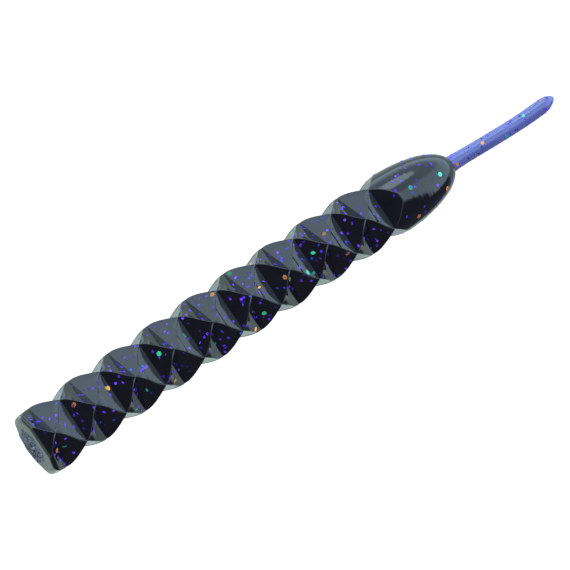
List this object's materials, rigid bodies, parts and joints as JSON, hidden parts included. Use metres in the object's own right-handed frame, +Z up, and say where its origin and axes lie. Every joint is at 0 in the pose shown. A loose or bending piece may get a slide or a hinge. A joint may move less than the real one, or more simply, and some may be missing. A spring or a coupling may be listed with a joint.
{
  "type": "soft plastic worm",
  "caption": "Soft plastic finesse fishing worm with a flat head face, faceted lobes that bend at the waists between them, a tapered end and a thin flexible tail.",
  "frame": {"origin": "centre of the flat head face", "axes": "+X along the worm from the head face to the tail, +Z up as it lies, +Y to the side"},
  "size_m": [0.0765, 0.0081, 0.0079],
  "materials": {
    "smoke_plastic": "glossy translucent smoke-black soft plastic",
    "violet_plastic": "glossy translucent blue-violet soft plastic",
    "glitter": "shiny dyed metal-film flakes set in the plastic"
  },
  "bodies": {
    "lobe_1": {"lobe_1": "smoke_plastic"},
    "neck_1": {"neck_1": "smoke_plastic"},
    "lobe_2": {"lobe_2": "smoke_plastic"},
    "neck_2": {"neck_2": "smoke_plastic"},
    "lobe_3": {"lobe_3": "smoke_plastic"},
    "neck_3": {"neck_3": "smoke_plastic"},
    "lobe_4": {"lobe_4": "smoke_plastic"},
    "neck_4": {"neck_4": "smoke_plastic"},
    "lobe_5": {"lobe_5": "smoke_plastic"},
    "neck_5": {"neck_5": "smoke_plastic"},
    "lobe_6": {"lobe_6": "smoke_plastic"},
    "neck_6": {"neck_6": "smoke_plastic"},
    "lobe_7": {"lobe_7": "smoke_plastic"},
    "neck_7": {"neck_7": "smoke_plastic"},
    "lobe_8": {"lobe_8": "smoke_plastic"},
    "neck_8": {"neck_8": "smoke_plastic"},
    "lobe_9": {"lobe_9": "smoke_plastic"},
    "neck_9": {"neck_9": "smoke_plastic"},
    "body_taper": {"body_taper": "smoke_plastic"},
    "tail_neck_1": {"tail_neck_1": "violet_plastic"},
    "tail_1": {"tail_1": "violet_plastic"},
    "tail_neck_2": {"tail_neck_2": "violet_plastic"},
    "tail_2": {"tail_2": "violet_plastic"},
    "tail_neck_3": {"tail_neck_3": "violet_plastic"},
    "tail_3": {"tail_3": "violet_plastic"},
    "tail_neck_4": {"tail_neck_4": "violet_plastic"},
    "tail_4": {"tail_4": "violet_plastic"},
    "tail_neck_5": {"tail_neck_5": "violet_plastic"},
    "tail_5": {"tail_5": "violet_plastic"}
  },
  "joints": [
    {"name": "neck_1_pitch", "type": "hinge", "parent": "lobe_1", "child": "neck_1", "pos_m": [0.00468, 0, 0], "axis": [0, 0.9239, 0.3827], "range_deg": [-15, 15], "stiffness_Nm_per_rad": 0.0025, "deforming": ["neck_1"]},
    {"name": "neck_1_yaw", "type": "hinge", "parent": "neck_1", "child": "lobe_2", "pos_m": [0.00468, 0, 0], "axis": [0, -0.3827, 0.9239], "range_deg": [-15, 15], "stiffness_Nm_per_rad": 0.0025},
    {"name": "neck_2_pitch", "type": "hinge", "parent": "lobe_2", "child": "neck_2", "pos_m": [0.01023, 0.0001, 0.00004], "axis": [0, 0.9239, 0.3827], "range_deg": [-15, 15], "stiffness_Nm_per_rad": 0.0025, "deforming": ["neck_2"]},
    {"name": "neck_2_yaw", "type": "hinge", "parent": "neck_2", "child": "lobe_3", "pos_m": [0.01023, 0.0001, 0.00004], "axis": [0, -0.3827, 0.9239], "range_deg": [-15, 15], "stiffness_Nm_per_rad": 0.0025},
    {"name": "neck_3_pitch", "type": "hinge", "parent": "lobe_3", "child": "neck_3", "pos_m": [0.01578, 0.00019, 0.00008], "axis": [0, 0.9239, 0.3827], "range_deg": [-15, 15], "stiffness_Nm_per_rad": 0.0025, "deforming": ["neck_3"]},
    {"name": "neck_3_yaw", "type": "hinge", "parent": "neck_3", "child": "lobe_4", "pos_m": [0.01578, 0.00019, 0.00008], "axis": [0, -0.3827, 0.9239], "range_deg": [-15, 15], "stiffness_Nm_per_rad": 0.0025},
    {"name": "neck_4_pitch", "type": "hinge", "parent": "lobe_4", "child": "neck_4", "pos_m": [0.02133, 0.00026, 0.00011], "axis": [0, 0.9239, 0.3827], "range_deg": [-15, 15], "stiffness_Nm_per_rad": 0.0025, "deforming": ["neck_4"]},
    {"name": "neck_4_yaw", "type": "hinge", "parent": "neck_4", "child": "lobe_5", "pos_m": [0.02133, 0.00026, 0.00011], "axis": [0, -0.3827, 0.9239], "range_deg": [-15, 15], "stiffness_Nm_per_rad": 0.0025},
    {"name": "neck_5_pitch", "type": "hinge", "parent": "lobe_5", "child": "neck_5", "pos_m": [0.02688, 0.00031, 0.00013], "axis": [0, 0.9239, 0.3827], "range_deg": [-15, 15], "stiffness_Nm_per_rad": 0.0025, "deforming": ["neck_5"]},
    {"name": "neck_5_yaw", "type": "hinge", "parent": "neck_5", "child": "lobe_6", "pos_m": [0.02688, 0.00031, 0.00013], "axis": [0, -0.3827, 0.9239], "range_deg": [-15, 15], "stiffness_Nm_per_rad": 0.0025},
    {"name": "neck_6_pitch", "type": "hinge", "parent": "lobe_6", "child": "neck_6", "pos_m": [0.03243, 0.00032, 0.00013], "axis": [0, 0.9239, 0.3827], "range_deg": [-15, 15], "stiffness_Nm_per_rad": 0.0025, "deforming": ["neck_6"]},
    {"name": "neck_6_yaw", "type": "hinge", "parent": "neck_6", "child": "lobe_7", "pos_m": [0.03243, 0.00032, 0.00013], "axis": [0, -0.3827, 0.9239], "range_deg": [-15, 15], "stiffness_Nm_per_rad": 0.0025},
    {"name": "neck_7_pitch", "type": "hinge", "parent": "lobe_7", "child": "neck_7", "pos_m": [0.03798, 0.00031, 0.00013], "axis": [0, 0.9239, 0.3827], "range_deg": [-15, 15], "stiffness_Nm_per_rad": 0.0025, "deforming": ["neck_7"]},
    {"name": "neck_7_yaw", "type": "hinge", "parent": "neck_7", "child": "lobe_8", "pos_m": [0.03798, 0.00031, 0.00013], "axis": [0, -0.3827, 0.9239], "range_deg": [-15, 15], "stiffness_Nm_per_rad": 0.0025},
    {"name": "neck_8_pitch", "type": "hinge", "parent": "lobe_8", "child": "neck_8", "pos_m": [0.04353, 0.00027, 0.00011], "axis": [0, 0.9239, 0.3827], "range_deg": [-15, 15], "stiffness_Nm_per_rad": 0.0025, "deforming": ["neck_8"]},
    {"name": "neck_8_yaw", "type": "hinge", "parent": "neck_8", "child": "lobe_9", "pos_m": [0.04353, 0.00027, 0.00011], "axis": [0, -0.3827, 0.9239], "range_deg": [-15, 15], "stiffness_Nm_per_rad": 0.0025},
    {"name": "neck_9_pitch", "type": "hinge", "parent": "lobe_9", "child": "neck_9", "pos_m": [0.04908, 0.0002, 0.00008], "axis": [0, 0.9239, 0.3827], "range_deg": [-15, 15], "stiffness_Nm_per_rad": 0.0025, "deforming": ["neck_9"]},
    {"name": "neck_9_yaw", "type": "hinge", "parent": "neck_9", "child": "body_taper", "pos_m": [0.04908, 0.0002, 0.00008], "axis": [0, -0.3827, 0.9239], "range_deg": [-15, 15], "stiffness_Nm_per_rad": 0.0025},
    {"name": "tail_1_pitch", "type": "hinge", "parent": "body_taper", "child": "tail_neck_1", "pos_m": [0.06123, -0.00001, -0.00001], "axis": [0, 0.9239, 0.3827], "range_deg": [-20, 20], "stiffness_Nm_per_rad": 0.00004, "deforming": ["tail_neck_1"]},
    {"name": "tail_1_yaw", "type": "hinge", "parent": "tail_neck_1", "child": "tail_1", "pos_m": [0.06123, -0.00001, -0.00001], "axis": [0, -0.3827, 0.9239], "range_deg": [-20, 20], "stiffness_Nm_per_rad": 0.00004},
    {"name": "tail_2_pitch", "type": "hinge", "parent": "tail_1", "child": "tail_neck_2", "pos_m": [0.06435, -0.00016, -0.00007], "axis": [0, 0.9239, 0.3827], "range_deg": [-20, 20], "stiffness_Nm_per_rad": 0.00004, "deforming": ["tail_neck_2"]},
    {"name": "tail_2_yaw", "type": "hinge", "parent": "tail_neck_2", "child": "tail_2", "pos_m": [0.06435, -0.00016, -0.00007], "axis": [0, -0.3827, 0.9239], "range_deg": [-20, 20], "stiffness_Nm_per_rad": 0.00004},
    {"name": "tail_3_pitch", "type": "hinge", "parent": "tail_2", "child": "tail_neck_3", "pos_m": [0.06747, -0.0003, -0.00013], "axis": [0, 0.9239, 0.3827], "range_deg": [-20, 20], "stiffness_Nm_per_rad": 0.00004, "deforming": ["tail_neck_3"]},
    {"name": "tail_3_yaw", "type": "hinge", "parent": "tail_neck_3", "child": "tail_3", "pos_m": [0.06747, -0.0003, -0.00013], "axis": [0, -0.3827, 0.9239], "range_deg": [-20, 20], "stiffness_Nm_per_rad": 0.00004},
    {"name": "tail_4_pitch", "type": "hinge", "parent": "tail_3", "child": "tail_neck_4", "pos_m": [0.07059, -0.00041, -0.00017], "axis": [0, 0.9239, 0.3827], "range_deg": [-20, 20], "stiffness_Nm_per_rad": 0.00004, "deforming": ["tail_neck_4"]},
    {"name": "tail_4_yaw", "type": "hinge", "parent": "tail_neck_4", "child": "tail_4", "pos_m": [0.07059, -0.00041, -0.00017], "axis": [0, -0.3827, 0.9239], "range_deg": [-20, 20], "stiffness_Nm_per_rad": 0.00004},
    {"name": "tail_5_pitch", "type": "hinge", "parent": "tail_4", "child": "tail_neck_5", "pos_m": [0.07371, -0.0004, -0.00016], "axis": [0, 0.9239, 0.3827], "range_deg": [-20, 20], "stiffness_Nm_per_rad": 0.00004, "deforming": ["tail_neck_5"]},
    {"name": "tail_5_yaw", "type": "hinge", "parent": "tail_neck_5", "child": "tail_5", "pos_m": [0.07371, -0.0004, -0.00016], "axis": [0, -0.3827, 0.9239], "range_deg": [-20, 20], "stiffness_Nm_per_rad": 0.00004}
  ]
}
